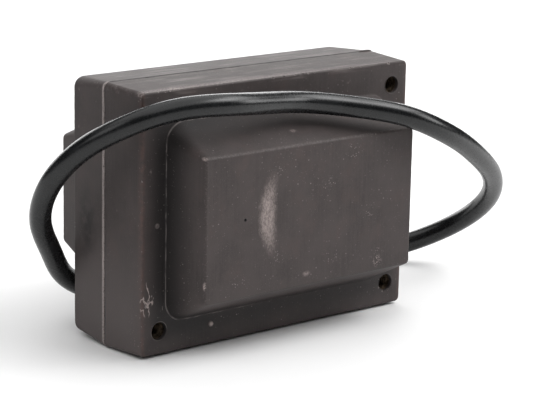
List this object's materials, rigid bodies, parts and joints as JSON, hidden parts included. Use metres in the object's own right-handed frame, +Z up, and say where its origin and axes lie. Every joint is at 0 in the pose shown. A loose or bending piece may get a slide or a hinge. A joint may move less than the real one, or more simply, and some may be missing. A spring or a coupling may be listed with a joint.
{
  "type": "ignition coil",
  "caption": "Potted block ignition coil in a two-part moulded case with drafted sides, boxy bosses, threaded inserts and a loop of high-tension lead.",
  "frame": {"origin": "on the surface it stands on, under the middle of the case", "axes": "+Z up as it stands in the picture, +X along the case's long side, front flange with the inserts towards -Y"},
  "size_m": [0.1849, 0.0831, 0.085],
  "materials": {
    "moulded_case": "matte, lightly scuffed thermoset moulding with pale specks",
    "potting_resin": "cured epoxy",
    "lead_rubber": "smooth, satin",
    "gasket_rubber": "matte",
    "lamination_steel": "varnished stack of thin sheets",
    "brass": "dull, machined",
    "enamelled_copper": "enamelled wire, wound in layers",
    "bobbin_nylon": "natural moulded nylon",
    "insulation_paper": "impregnated paper"
  },
  "bodies": {
    "root": {"front_case": "moulded_case", "rear_case": "moulded_case", "seam_gasket": "gasket_rubber", "insert_top_left": "brass", "insert_top_right": "brass", "insert_bottom_left": "brass", "insert_bottom_right": "brass", "core_e_stack": "lamination_steel", "core_i_stack": "lamination_steel", "core_gap_shim": "insulation_paper", "core_rivet_e_top": "lamination_steel", "core_rivet_e_bottom": "lamination_steel", "core_rivet_i_top": "lamination_steel", "core_rivet_i_bottom": "lamination_steel", "primary_bobbin": "bobbin_nylon", "primary_winding": "enamelled_copper", "insulation_wrap": "insulation_paper", "secondary_bobbin": "bobbin_nylon", "secondary_winding_1": "enamelled_copper", "secondary_winding_2": "enamelled_copper", "secondary_winding_3": "enamelled_copper", "secondary_winding_4": "enamelled_copper", "resin_front": "potting_resin", "resin_rear": "potting_resin", "ht_contact_left": "brass", "ht_contact_right": "brass", "ht_gland_left": "lead_rubber", "ht_gland_right": "lead_rubber", "lt_blade_left": "brass", "lt_blade_right": "brass", "ht_lead": "lead_rubber"}
  },
  "joints": []
}
